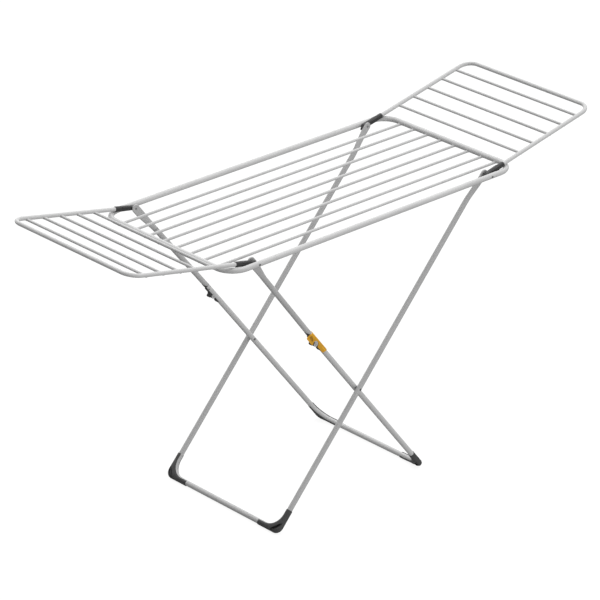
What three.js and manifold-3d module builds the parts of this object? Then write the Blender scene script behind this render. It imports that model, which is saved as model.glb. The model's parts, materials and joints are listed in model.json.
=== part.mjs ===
// A folding clothes drying rack with two wings, in millimetres.
// +X runs along the rack, +Y across it and +Z up. The origin is on the floor, under the middle.
// "near" is the -Y side and "far" the +Y side. The rack stands open, with its wings out.
import * as THREE from 'three';
import { mergeVertices } from 'three/addons/utils/BufferGeometryUtils.js';
import Module from 'manifold-3d';

const wasm = await Module();
wasm.setup();

// ---------------------------------------------------------------- driving dimensions

const GAP = 0.3; // clearance between pieces that touch or run on each other
const BEND_STEPS = 8; // steps round each quarter bend
const TUBE_SIDES = 12;
const WIRE_SIDES = 8;

// Top frame: a ring of tube with lengthwise wires let into its end tubes
const TOP_Z = 886.4; // tube axis above the floor, and the height of all four pivots
const TOP_TUBE_R = 8.25;
const TOP_HALF_LENGTH = 547.3; // tube axis
const TOP_HALF_WIDTH = 270; // tube axis
const TOP_BEND_R = 58;
const WIRE_R = 4.1;
const TOP_WIRES = 8;
const TOP_WIRE_SPACING = 56.6;
const TOP_WIRE_DROP = 5.1; // wire axis below the tube axis
const TOP_WIRE_OVERHANG = 3.5; // wire end beyond the end tube's axis

// Pivots: two near and two far, level with the top frame
const PIVOT_X = 449.3;
const RIVET_R = 2.5;
const RIVET_HEAD_R = 4.6;
const RIVET_HEAD_HEIGHT = 1.3;

// Wings
const WING_TILT = THREE.MathUtils.degToRad(11.93);
const WING_TUBE_R = 6;
const WING_LENGTH = 442.3; // pivot to the end tube's axis
const WING_HALF_WIDTH = 253.4; // arm axis
const WING_BEND_R = 39;
const WING_ARM_START = 22; // arm end beyond the pivot, inside the clip
const WING_WIRES = 5;
const WING_FIRST_WIRE = 54.65; // from the end tube's axis
const WING_WIRE_SPACING = 60.85;
const WING_WIRE_DROP = 3.2;
const WING_WIRE_OVERHANG = 2.5;

// Hinge clips on the wing arms
const CLIP_WIDTH = 15.9;
const CLIP_TAIL = 19;
const CLIP_PIVOT_HALF_HEIGHT = 6.4;
const CLIP_HALF_HEIGHT = 7.2; // where the body meets the collar
const CLIP_BODY_END = 50;
const CLIP_COLLAR_START = 46;
const CLIP_COLLAR_END = 69;
const CLIP_COLLAR_R = 7.9;

// Leg frames: angles are below the horizontal, lengths run from the pivot to the foot bar's axis
const LEG_TUBE_R = 8;
const LEG_BEND_R = 52;
const OUTER_ANGLE = THREE.MathUtils.degToRad(47.7);
const OUTER_LENGTH = 1185;
const OUTER_Y = 235.2;
const INNER_ANGLE = THREE.MathUtils.degToRad(51.97);
const INNER_LENGTH = 1112;
const INNER_Y = 216.9;

// Flattened upper leg ends, which lie beside the clips
const PLATE_Y = 242.7;
const PLATE_HALF_THICKNESS = 2.3;
const PLATE_HALF_WIDTH = 12.4;
const PLATE_END = 14; // the flat part ends here, measured from the pivot
const PLATE_BLEND_END = 100; // and the tube is round from here on

// Elbow of the inner leg: places are along the leg from its upper pivot, and up from its axis
const ELBOW_S = 384.5; // upper end of the lower tube
const SLOT_END = 461.5; // slot in the lower tube's underside
const SLOT_HALF_WIDTH = 5.2;
const SLOT_ROOF = 3;
const ELBOW_PIN_S = 429;
const ELBOW_PIN_T = -8.6;
const ELBOW_PIN_R = 2.2;
const EAR_R = 6.6;
const DETENT_S = 397;
const DETENT_T = -4;
const DETENT_R = 1.6;
const LINK_END = 383.8;
const LINK_SPLAY_START = 50; // below this the upper link leans in towards the elbow
const LINK_SPLAY_Y = 232;
const PLUG_R = 5.9;
const PLUG_START = 356;
const WINDOW_START = 369; // the upper link's underside is cut away from here to its end
const WINDOW_TOP = -2.5;
const KNOB = new THREE.Vector2(417.8, -14.8);
const KNOB_R = 5.1;
const BASE_START = 447.8;

// Lock slider on the near elbow
const SLIDER_START = 390;
const SLIDER_PANEL_START = 381.3; // the thumb panel's upper edge, below the near cheek
const SLIDER_END = 478;
const SLIDER_WALL = 1.5;
const SLIDER_RECESS = 0.8; // depth of the thumb panel's recess, which leaves a lip below it
const SLIDER_NOTCH_R = 12.3;

// Foot caps round the outside of each bottom bend
const CAP_R = 9.6; // half the cap's thickness, and its reach outside the tube's axis
const CAP_ALONG_BAR = 78;
const CAP_ALONG_OUTER_LEG = 68;
const CAP_ALONG_INNER_LEG = 60;
const CAP_CORNER_R = 22;
const CAP_LIP = 5; // how far the cap's lips reach inside the tube's axis
const CAP_ROUNDING = 4.5;
const POCKET_DEPTH = 5;

const NEAR_AND_FAR = [
  { name: 'near', y: -1 },
  { name: 'far', y: 1 },
];

// ---------------------------------------------------------------- materials

function finish(color, roughness, metalness) {
  return new THREE.MeshStandardMaterial({ color, roughness, metalness });
}

const paint = () => finish(0xd4d5d6, 0.42, 0.1);
const wirePaint = () => finish(0xdadbdc, 0.45, 0.1);
const darkPlastic = () => finish(0x4a4b4d, 0.6, 0);
const yellowPlastic = () => finish(0xc8922c, 0.5, 0);
const steel = () => finish(0xb4b6ba, 0.35, 0.9);
const nylon = () => finish(0x9a9c9f, 0.6, 0);

// ---------------------------------------------------------------- shape helpers

// A curve through given points whose steps fall exactly on those points.
class PointPath extends THREE.Curve {
  constructor(points, closed = false) {
    super();
    this.points = points;
    this.closed = closed;
  }

  getPoint(t, target = new THREE.Vector3()) {
    const last = this.points.length - 1;
    const place = t * last;
    const index = Math.min(Math.floor(place + 1e-9), last - 1);
    return target.lerpVectors(this.points[index], this.points[index + 1], place - index);
  }

  getPointAt(u, target) {
    return this.getPoint(u, target);
  }

  getTangentAt(u, target = new THREE.Vector3()) {
    const last = this.points.length - 1;
    const index = Math.round(u * last);
    const here = this.points[index];
    const atSeam = this.closed && (index === 0 || index === last);
    const before = atSeam ? this.points[last - 1] : this.points[Math.max(index - 1, 0)];
    const after = atSeam ? this.points[1] : this.points[Math.min(index + 1, last)];
    const arriving = new THREE.Vector3().subVectors(here, before).normalize();
    const leaving = new THREE.Vector3().subVectors(after, here).normalize();
    return target.addVectors(arriving, leaving).normalize();
  }
}

// Points through a row of corners, each { at: Vector3, bend: radius }. Every bend is a right angle.
function roundedPath(corners) {
  const points = [];
  corners.forEach(({ at, bend = 0 }, index) => {
    if (bend === 0) {
      points.push(at);
      return;
    }
    const back = corners.at(index - 1).at.clone().sub(at).normalize();
    const onward = corners[(index + 1) % corners.length].at.clone().sub(at).normalize();
    const centre = at.clone().addScaledVector(back, bend).addScaledVector(onward, bend);
    for (let step = 0; step <= BEND_STEPS; step += 1) {
      const turn = ((Math.PI / 2) * step) / BEND_STEPS;
      const point = centre.clone().addScaledVector(onward, -bend * Math.cos(turn));
      points.push(point.addScaledVector(back, -bend * Math.sin(turn)));
    }
  });
  return points;
}

function circle(radius, sides) {
  const points = [];
  for (let side = 0; side < sides; side += 1) {
    const angle = (2 * Math.PI * side) / sides;
    points.push(new THREE.Vector2(radius * Math.cos(angle), radius * Math.sin(angle)));
  }
  return new THREE.Shape(points);
}

function tube(points, radius) {
  return new THREE.ExtrudeGeometry(circle(radius, TUBE_SIDES), {
    steps: points.length - 1,
    extrudePath: new PointPath(points),
  });
}

function ring(points, radius) {
  const closedPoints = [...points, points[0]];
  return new THREE.TubeGeometry(
    new PointPath(closedPoints, true), closedPoints.length - 1, radius, TUBE_SIDES, true,
  );
}

function rodAlongX(radius, length, sides = TUBE_SIDES) {
  return new THREE.CylinderGeometry(radius, radius, length, sides).rotateZ(Math.PI / 2);
}

function rodAlongY(radius, length, sides = TUBE_SIDES) {
  return new THREE.CylinderGeometry(radius, radius, length, sides);
}

function boxBetween(low, high) {
  const size = high.map((value, axis) => value - low[axis]);
  const middle = high.map((value, axis) => (value + low[axis]) / 2);
  return new THREE.BoxGeometry(...size).translate(...middle);
}

// A side outline in X and Z, given thickness along Y and centred on Y = 0.
function sidePlate(outline, width) {
  const geometry = new THREE.ExtrudeGeometry(outline, {
    depth: width, bevelEnabled: false, curveSegments: 8,
  });
  return geometry.rotateX(Math.PI / 2).translate(0, width / 2, 0);
}

// A solid of revolution about Y from [radius, y] pairs.
function turned(profile) {
  const points = profile.map(([radius, y]) => new THREE.Vector2(radius, y));
  return new THREE.LatheGeometry(points, TUBE_SIDES);
}

function solid(geometry) {
  const bare = geometry.clone();
  bare.deleteAttribute('normal');
  bare.deleteAttribute('uv');
  const merged = mergeVertices(bare, 1e-4);
  return new wasm.Manifold(new wasm.Mesh({
    numProp: 3,
    vertProperties: merged.attributes.position.array,
    triVerts: Uint32Array.from(merged.index.array),
  }));
}

function geometryOf(body) {
  const { vertProperties, triVerts } = body.getMesh();
  const geometry = new THREE.BufferGeometry();
  geometry.setAttribute('position', new THREE.BufferAttribute(vertProperties, 3));
  geometry.setIndex(new THREE.BufferAttribute(triVerts, 1));
  geometry.computeVertexNormals();
  return geometry;
}

function joined(geometry, ...additions) {
  return geometryOf(additions.reduce((body, addition) => body.add(solid(addition)), solid(geometry)));
}

function cut(geometry, ...tools) {
  return geometryOf(tools.reduce((body, tool) => body.subtract(solid(tool)), solid(geometry)));
}

function common(first, second) {
  return geometryOf(solid(first).intersect(solid(second)));
}

function piece(name, geometry, material, parent) {
  const mesh = new THREE.Mesh(geometry, material);
  mesh.name = name;
  parent.add(mesh);
  return mesh;
}

const at = (x, y, z) => new THREE.Vector3(x, y, z);

// ---------------------------------------------------------------- top frame

const rack = new THREE.Group();

const topFrame = new THREE.Group();
topFrame.position.z = TOP_Z;
rack.add(topFrame);

const topPath = roundedPath([
  { at: at(0, -TOP_HALF_WIDTH, 0) },
  { at: at(TOP_HALF_LENGTH, -TOP_HALF_WIDTH, 0), bend: TOP_BEND_R },
  { at: at(TOP_HALF_LENGTH, TOP_HALF_WIDTH, 0), bend: TOP_BEND_R },
  { at: at(-TOP_HALF_LENGTH, TOP_HALF_WIDTH, 0), bend: TOP_BEND_R },
  { at: at(-TOP_HALF_LENGTH, -TOP_HALF_WIDTH, 0), bend: TOP_BEND_R },
]);

const topWireHalfLength = TOP_HALF_LENGTH + TOP_WIRE_OVERHANG;
const topWireYs = Array.from(
  { length: TOP_WIRES }, (_, index) => (index - (TOP_WIRES - 1) / 2) * TOP_WIRE_SPACING,
);

function addTopFrame() {
  const grooves = topWireYs.map((y) => (
    rodAlongX(WIRE_R + GAP, 2 * (topWireHalfLength + GAP), WIRE_SIDES).translate(0, y, -TOP_WIRE_DROP)
  ));
  const bores = [-PIVOT_X, PIVOT_X].map((x) => (
    rodAlongY(RIVET_R + GAP, 2.2 * TOP_HALF_WIDTH).translate(x, 0, 0)
  ));
  piece('main_frame_tube', cut(ring(topPath, TOP_TUBE_R), ...grooves, ...bores), paint(), topFrame);
  topWireYs.forEach((y, index) => {
    const wire = piece(
      `main_wire_${index + 1}`, rodAlongX(WIRE_R, 2 * topWireHalfLength, WIRE_SIDES),
      wirePaint(), topFrame,
    );
    wire.position.set(0, y, -TOP_WIRE_DROP);
  });
}

// Each pivot rivet runs from a head inside the flattened leg end out into the top frame's tube.
function addPivotRivets() {
  const plateInnerY = PLATE_Y - PLATE_HALF_THICKNESS;
  const headOuterY = plateInnerY - GAP;
  const outerEndY = TOP_HALF_WIDTH + TOP_TUBE_R - 2 * GAP;
  const profile = [
    [0, headOuterY - RIVET_HEAD_HEIGHT],
    [RIVET_HEAD_R - 1, headOuterY - RIVET_HEAD_HEIGHT],
    [RIVET_HEAD_R, headOuterY],
    [RIVET_R, headOuterY],
    [RIVET_R, outerEndY],
    [0, outerEndY],
  ];
  for (const [end, x] of [['left', -PIVOT_X], ['right', PIVOT_X]]) {
    for (const side of NEAR_AND_FAR) {
      const rivet = piece(`pivot_rivet_${end}_${side.name}`, turned(profile), steel(), topFrame);
      rivet.position.x = x;
      rivet.rotation.x = side.y < 0 ? Math.PI : 0;
    }
  }
}

// ---------------------------------------------------------------- wings

// A wing is made in a frame on its pivot axis, with X out along its arms and Z square to them.
const wingPlacement = new THREE.Matrix4()
  .makeTranslation(PIVOT_X, 0, 0)
  .multiply(new THREE.Matrix4().makeRotationY(-WING_TILT));

function wingTube(grooves) {
  const path = roundedPath([
    { at: at(WING_ARM_START, -WING_HALF_WIDTH, 0) },
    { at: at(WING_LENGTH, -WING_HALF_WIDTH, 0), bend: WING_BEND_R },
    { at: at(WING_LENGTH, WING_HALF_WIDTH, 0), bend: WING_BEND_R },
    { at: at(WING_ARM_START, WING_HALF_WIDTH, 0) },
  ]);
  return cut(tube(path, WING_TUBE_R), ...grooves);
}

// The clip's body widens from the pivot to its collar, and has a low pointed tail behind the
// pivot. The collar takes the arm, and the outer underside is seated on the top frame's corner.
function hingeClip(y) {
  const outline = new THREE.Shape();
  outline.moveTo(-CLIP_TAIL, -CLIP_PIVOT_HALF_HEIGHT);
  outline.lineTo(-CLIP_TAIL, -CLIP_PIVOT_HALF_HEIGHT + 2);
  outline.lineTo(-8, 2.6);
  outline.lineTo(-5, 5.4);
  outline.lineTo(0, CLIP_PIVOT_HALF_HEIGHT);
  outline.lineTo(CLIP_BODY_END, CLIP_HALF_HEIGHT);
  outline.lineTo(CLIP_BODY_END, -CLIP_HALF_HEIGHT);
  outline.lineTo(0, -CLIP_PIVOT_HALF_HEIGHT);
  outline.closePath();
  const collarLength = CLIP_COLLAR_END - CLIP_COLLAR_START;
  const collar = rodAlongX(CLIP_COLLAR_R, collarLength)
    .translate(CLIP_COLLAR_START + collarLength / 2, 0, 0);
  const boreLength = CLIP_COLLAR_END + 1 - WING_ARM_START;
  const armBore = rodAlongX(WING_TUBE_R + GAP, boreLength + GAP)
    .translate(WING_ARM_START - GAP + (boreLength + GAP) / 2, 0, 0);
  const rivetBore = rodAlongY(RIVET_R + GAP, 2 * CLIP_WIDTH);
  const seat = ring(topPath, TOP_TUBE_R + GAP + 0.1)
    .applyMatrix4(wingPlacement.clone().invert())
    .translate(0, -y, 0);
  return cut(joined(sidePlate(outline, CLIP_WIDTH), collar), armBore, rivetBore, seat);
}

function addWing(side, turn) {
  const half = new THREE.Group();
  half.rotation.z = turn;
  topFrame.add(half);
  const wing = new THREE.Group();
  wing.applyMatrix4(wingPlacement);
  half.add(wing);

  const wireXs = Array.from(
    { length: WING_WIRES },
    (_, index) => WING_LENGTH - WING_FIRST_WIRE - index * WING_WIRE_SPACING,
  );
  const wireLength = 2 * (WING_HALF_WIDTH + WING_WIRE_OVERHANG);
  const grooves = wireXs.map((x) => (
    rodAlongY(WIRE_R + GAP, wireLength + 2 * GAP, WIRE_SIDES).translate(x, 0, -WING_WIRE_DROP)
  ));
  piece(`wing_${side}_tube`, wingTube(grooves), paint(), wing);
  wireXs.forEach((x, index) => {
    const wire = piece(
      `wing_${side}_wire_${index + 1}`, rodAlongY(WIRE_R, wireLength, WIRE_SIDES), wirePaint(), wing,
    );
    wire.position.set(x, 0, -WING_WIRE_DROP);
  });
  for (const { name, y } of NEAR_AND_FAR) {
    const localY = y * Math.cos(turn) * WING_HALF_WIDTH;
    const clip = piece(`hinge_clip_${side}_${name}`, hingeClip(localY), darkPlastic(), wing);
    clip.position.y = localY;
  }
}

// ---------------------------------------------------------------- leg frames

// A leg is made in a frame on its upper pivot, with X down the leg. Y stays across the rack.
function legFrame(x, turn) {
  const frame = new THREE.Group();
  frame.position.set(x, 0, TOP_Z);
  frame.rotation.y = turn;
  frame.updateMatrix();
  rack.add(frame);
  return frame;
}

const outerFrame = legFrame(PIVOT_X, Math.PI - OUTER_ANGLE);
const innerFrame = legFrame(-PIVOT_X, INNER_ANGLE);

// Where the two legs cross, as a distance down each of them
const pivotSpan = 2 * PIVOT_X;
const crossingAngle = OUTER_ANGLE + INNER_ANGLE;
const OUTER_CROSSING = (pivotSpan * Math.sin(INNER_ANGLE)) / Math.sin(crossingAngle);
const INNER_CROSSING = (pivotSpan * Math.sin(OUTER_ANGLE)) / Math.sin(crossingAngle);

const PLATE_STEPS = [-12, -9.5, -5.5, 0, PLATE_END, 26, 38, 50, 62, 75, PLATE_BLEND_END];

// Presses a tube's upper end flat. The tube runs along X at y = side * tubeY(x).
function flattenEnd(geometry, side, tubeY) {
  const position = geometry.attributes.position;
  const vertex = new THREE.Vector3();
  for (let index = 0; index < position.count; index += 1) {
    vertex.fromBufferAttribute(position, index);
    if (vertex.x < PLATE_BLEND_END && vertex.y * side > 0) {
      const across = side * vertex.y - tubeY(vertex.x);
      const angle = Math.atan2(across, vertex.z);
      const flat = THREE.MathUtils.smoothstep(PLATE_BLEND_END - vertex.x, 0, PLATE_BLEND_END - PLATE_END);
      const tip = Math.min(vertex.x, 0);
      const halfWidth = Math.sqrt(PLATE_HALF_WIDTH ** 2 - tip ** 2);
      const pressed = PLATE_HALF_THICKNESS * THREE.MathUtils.clamp(2 * Math.sin(angle), -1, 1);
      const z = THREE.MathUtils.lerp(vertex.z, halfWidth * Math.cos(angle), flat);
      const reach = THREE.MathUtils.lerp(across, pressed, flat);
      const centre = THREE.MathUtils.lerp(tubeY(vertex.x), PLATE_Y, flat);
      position.setXYZ(index, vertex.x, side * (centre + reach), z);
    }
  }
  return geometry;
}

function uPath(length, y, starts) {
  const down = starts.map((x) => ({ at: at(x, -y, 0) }));
  const up = [...starts].reverse().map((x) => ({ at: at(x, y, 0) }));
  const bends = [-y, y].map((barY) => ({ at: at(length, barY, 0), bend: LEG_BEND_R }));
  return roundedPath([...down, ...bends, ...up]);
}

const outerPath = uPath(OUTER_LENGTH, OUTER_Y, PLATE_STEPS);
const innerPath = uPath(INNER_LENGTH, INNER_Y, [ELBOW_S]);

function crossBore(radius, x, z = 0) {
  return rodAlongY(radius, 2.4 * OUTER_Y).translate(x, 0, z);
}

// The cap's outline follows the outside of one bottom bend. Its points are given as distances
// in from the leg's axis and up from the bar's axis, and land on the given side of the frame.
function capPoint(inwards, upwards, length, legY, side) {
  return new THREE.Vector2(length - upwards, side * (legY - inwards));
}

function arcPoints(centreIn, centreUp, radius, from, to, steps = BEND_STEPS) {
  const points = [];
  for (let step = 0; step <= steps; step += 1) {
    const angle = THREE.MathUtils.degToRad(from + ((to - from) * step) / steps);
    points.push([centreIn + radius * Math.cos(angle), centreUp + radius * Math.sin(angle)]);
  }
  return points;
}

function footCap(path, length, legY, side, alongLeg, frame) {
  const flat = (pairs) => new THREE.Shape(
    pairs.map(([inwards, upwards]) => capPoint(inwards, upwards, length, legY, side)),
  );
  const slab = (pairs, from, to) => (
    new THREE.ExtrudeGeometry(flat(pairs), { depth: to - from, bevelEnabled: false })
      .translate(0, 0, from)
  );
  const edge = CAP_R - CAP_ROUNDING;
  const outerCorner = CAP_CORNER_R - CAP_ROUNDING;
  const bodyOutline = flat([
    [-edge, alongLeg - CAP_ROUNDING],
    ...arcPoints(outerCorner - edge, outerCorner - edge, outerCorner, 180, 270),
    [CAP_ALONG_BAR - CAP_ROUNDING, -edge],
    [CAP_ALONG_BAR - CAP_ROUNDING, edge],
    ...arcPoints(LEG_BEND_R, LEG_BEND_R, LEG_BEND_R - edge, 270, 180),
    [edge, alongLeg - CAP_ROUNDING],
  ]);
  const body = new THREE.ExtrudeGeometry(bodyOutline, {
    depth: 2 * edge,
    bevelThickness: CAP_ROUNDING,
    bevelSize: CAP_ROUNDING,
    bevelSegments: 2,
  }).translate(0, 0, -edge);
  const mouth = slab([
    [CAP_LIP, alongLeg + 1],
    ...arcPoints(LEG_BEND_R, LEG_BEND_R, LEG_BEND_R - CAP_LIP, 180, 270),
    [CAP_ALONG_BAR + 1, CAP_LIP],
    [CAP_ALONG_BAR + 1, alongLeg + 1],
  ], -2 * CAP_R, 2 * CAP_R);
  const lens = [
    ...arcPoints(LEG_BEND_R, LEG_BEND_R, LEG_BEND_R + LEG_TUBE_R - 0.5, 244, 206, 6),
    ...arcPoints(LEG_BEND_R / 2, LEG_BEND_R / 2, LEG_BEND_R / 2 + 9, 196, 254, 6),
  ];
  const pockets = [
    slab(lens, CAP_R - POCKET_DEPTH, CAP_R + 1),
    slab(lens, -CAP_R - 1, POCKET_DEPTH - CAP_R),
  ];
  const ground = boxBetween([-2000, -500, -100], [2000, 500, 0])
    .applyMatrix4(frame.matrix.clone().invert());
  return cut(body, tube(path, LEG_TUBE_R + GAP), mouth, ...pockets, ground);
}

function addOuterLegFrame() {
  let geometry = tube(outerPath, LEG_TUBE_R);
  for (const { y } of NEAR_AND_FAR) {
    geometry = flattenEnd(geometry, y, () => OUTER_Y);
  }
  geometry = cut(geometry, crossBore(RIVET_R + GAP, 0), crossBore(RIVET_R + GAP, OUTER_CROSSING));
  piece('leg_outer_tube', geometry, paint(), outerFrame);

  const innerFaceY = INNER_Y + LEG_TUBE_R + GAP;
  const outerFaceY = OUTER_Y + LEG_TUBE_R + GAP;
  const rivet = [
    [0, innerFaceY],
    [RIVET_R, innerFaceY],
    [RIVET_R, outerFaceY],
    [RIVET_HEAD_R, outerFaceY],
    [RIVET_HEAD_R - 1, outerFaceY + RIVET_HEAD_HEIGHT],
    [0, outerFaceY + RIVET_HEAD_HEIGHT],
  ];
  const washerOuterY = OUTER_Y - LEG_TUBE_R - GAP;
  const washer = [
    [RIVET_R + GAP, innerFaceY],
    [2.6 * RIVET_R, innerFaceY],
    [2.6 * RIVET_R, washerOuterY],
    [RIVET_R + GAP, washerOuterY],
    [RIVET_R + GAP, innerFaceY],
  ];
  for (const { name, y } of NEAR_AND_FAR) {
    const turn = y < 0 ? Math.PI : 0;
    const cap = footCap(outerPath, OUTER_LENGTH, OUTER_Y, y, CAP_ALONG_OUTER_LEG, outerFrame);
    piece(`foot_cap_outer_${name}`, cap, darkPlastic(), outerFrame);
    const shank = piece(`crossing_rivet_outer_${name}`, turned(rivet), steel(), outerFrame);
    shank.position.x = OUTER_CROSSING;
    shank.rotation.x = turn;
    const spacer = piece(`crossing_washer_${name}`, turned(washer), nylon(), outerFrame);
    spacer.position.x = OUTER_CROSSING;
    spacer.rotation.x = turn;
  }
}

// The lower tube's top end is slotted underneath, with two ears that carry the elbow pin.
function innerLegTube() {
  const ears = [];
  const slots = [];
  for (const { y } of NEAR_AND_FAR) {
    const earWidth = LEG_TUBE_R - SLOT_HALF_WIDTH;
    for (const cheek of [-1, 1]) {
      const earY = y * INNER_Y + cheek * (SLOT_HALF_WIDTH + earWidth / 2);
      ears.push(rodAlongY(EAR_R, earWidth).translate(ELBOW_PIN_S, earY, ELBOW_PIN_T));
    }
    slots.push(boxBetween(
      [ELBOW_S - 1, y * INNER_Y - SLOT_HALF_WIDTH, -3 * LEG_TUBE_R],
      [SLOT_END, y * INNER_Y + SLOT_HALF_WIDTH, SLOT_ROOF],
    ));
  }
  return cut(
    joined(tube(innerPath, LEG_TUBE_R), ...ears),
    ...slots,
    crossBore(ELBOW_PIN_R + GAP, ELBOW_PIN_S, ELBOW_PIN_T),
    crossBore(DETENT_R, DETENT_S, DETENT_T),
    crossBore(RIVET_R + GAP, INNER_CROSSING),
  );
}

function addInnerLegFrame() {
  piece('leg_inner_tube', innerLegTube(), paint(), innerFrame);

  const headY = INNER_Y - LEG_TUBE_R - GAP;
  const rivet = [
    [0, headY - RIVET_HEAD_HEIGHT],
    [RIVET_HEAD_R - 1, headY - RIVET_HEAD_HEIGHT],
    [RIVET_HEAD_R, headY],
    [RIVET_R, headY],
    [RIVET_R, INNER_Y + LEG_TUBE_R - GAP],
    [0, INNER_Y + LEG_TUBE_R - GAP],
  ];
  const baseHalfWidth = SLOT_HALF_WIDTH - GAP;
  const baseBottom = -LEG_TUBE_R - 2;
  const baseOutline = new THREE.Shape([
    new THREE.Vector2(BASE_START, SLOT_ROOF - GAP),
    new THREE.Vector2(SLOT_END - GAP, SLOT_ROOF - GAP),
    new THREE.Vector2(SLOT_END - GAP, -LEG_TUBE_R),
    new THREE.Vector2(SLOT_END - 4, baseBottom),
    new THREE.Vector2(BASE_START + 2, baseBottom),
    new THREE.Vector2(BASE_START, -LEG_TUBE_R),
  ]);
  for (const { name, y } of NEAR_AND_FAR) {
    const cap = footCap(innerPath, INNER_LENGTH, INNER_Y, y, CAP_ALONG_INNER_LEG, innerFrame);
    piece(`foot_cap_inner_${name}`, cap, darkPlastic(), innerFrame);
    const shank = piece(`crossing_rivet_inner_${name}`, turned(rivet), steel(), innerFrame);
    shank.position.x = INNER_CROSSING;
    shank.rotation.x = y < 0 ? Math.PI : 0;
    const base = piece(
      `elbow_base_${name}`, sidePlate(baseOutline, 2 * baseHalfWidth), darkPlastic(), innerFrame,
    );
    base.position.y = y * INNER_Y;
    const pin = piece(
      `elbow_pin_${name}`, rodAlongY(ELBOW_PIN_R, 2 * LEG_TUBE_R - 2 * GAP), steel(), innerFrame,
    );
    pin.position.set(ELBOW_PIN_S, y * INNER_Y, ELBOW_PIN_T);
  }
}

// ---------------------------------------------------------------- upper links and elbow plugs

const linkSplay = Math.atan((LINK_SPLAY_Y - INNER_Y) / (ELBOW_S - LINK_SPLAY_START));

function linkY(x) {
  return LINK_SPLAY_Y - Math.tan(linkSplay) * Math.max(x - LINK_SPLAY_START, 0);
}

// A rod along the link's leaning axis, between two places along the leg
function rodInLink(radius, from, to, side) {
  const rod = rodAlongX(radius, (to - from) / Math.cos(linkSplay)).rotateZ(-side * linkSplay);
  const middle = (from + to) / 2;
  return rod.translate(middle, side * linkY(middle), 0);
}

function upperLink(side) {
  const places = [...PLATE_STEPS, LINK_END];
  const points = places.map((x) => at(x, side * linkY(x), 0));
  const flattened = flattenEnd(tube(points, LEG_TUBE_R), side, linkY);
  const window = boxBetween(
    [WINDOW_START, -2 * OUTER_Y, -3 * LEG_TUBE_R], [LINK_END + 1, 2 * OUTER_Y, WINDOW_TOP],
  );
  return cut(
    flattened, crossBore(RIVET_R + GAP, 0), rodInLink(PLUG_R + GAP, PLUG_START - 2, LINK_END + 4, side),
    window,
  );
}

// The tongue fills the slot from the link's end to the elbow pin, and has a round knob below it.
// A half-round pad closes the window in the link's underside.
function elbowPlug(side) {
  const tongueStart = ELBOW_S + 0.5;
  const top = SLOT_ROOF / 2;
  const bottom = -LEG_TUBE_R - 1;
  const outline = new THREE.Shape();
  outline.moveTo(tongueStart, top);
  outline.lineTo(ELBOW_PIN_S - 8, top);
  outline.absarc(ELBOW_PIN_S, ELBOW_PIN_T, EAR_R, 1.3, -1.9, true);
  outline.absarc(KNOB.x, KNOB.y, KNOB_R, 0.1, -3.6, true);
  outline.lineTo(KNOB.x - 8, bottom);
  outline.lineTo(tongueStart + 6, bottom);
  outline.lineTo(tongueStart + 6, bottom / 2);
  outline.lineTo(tongueStart, bottom / 2);
  outline.closePath();
  const halfWidth = SLOT_HALF_WIDTH - GAP;
  const tongue = sidePlate(outline, 2 * halfWidth).translate(0, side * INNER_Y, 0);
  const neck = boxBetween(
    [LINK_END - 5, side * INNER_Y - 4, bottom / 2], [ELBOW_S + 4, side * INNER_Y + 4, top],
  );
  const peg = rodInLink(PLUG_R, PLUG_START, ELBOW_S - GAP - 0.3, side);
  const padEnd = ELBOW_S - GAP;
  const pad = common(
    rodInLink(LEG_TUBE_R, WINDOW_START + GAP, padEnd, side),
    boxBetween([WINDOW_START, -2 * OUTER_Y, -3 * LEG_TUBE_R], [padEnd, 2 * OUTER_Y, WINDOW_TOP - GAP]),
  );
  return cut(joined(tongue, neck, peg, pad), crossBore(ELBOW_PIN_R + GAP, ELBOW_PIN_S, ELBOW_PIN_T));
}

function addUpperLinks() {
  for (const { name, y } of NEAR_AND_FAR) {
    piece(`upper_link_${name}`, upperLink(y), paint(), innerFrame);
    piece(`elbow_plug_${name}`, elbowPlug(y), darkPlastic(), innerFrame);
  }
}

// ---------------------------------------------------------------- lock slider

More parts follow.
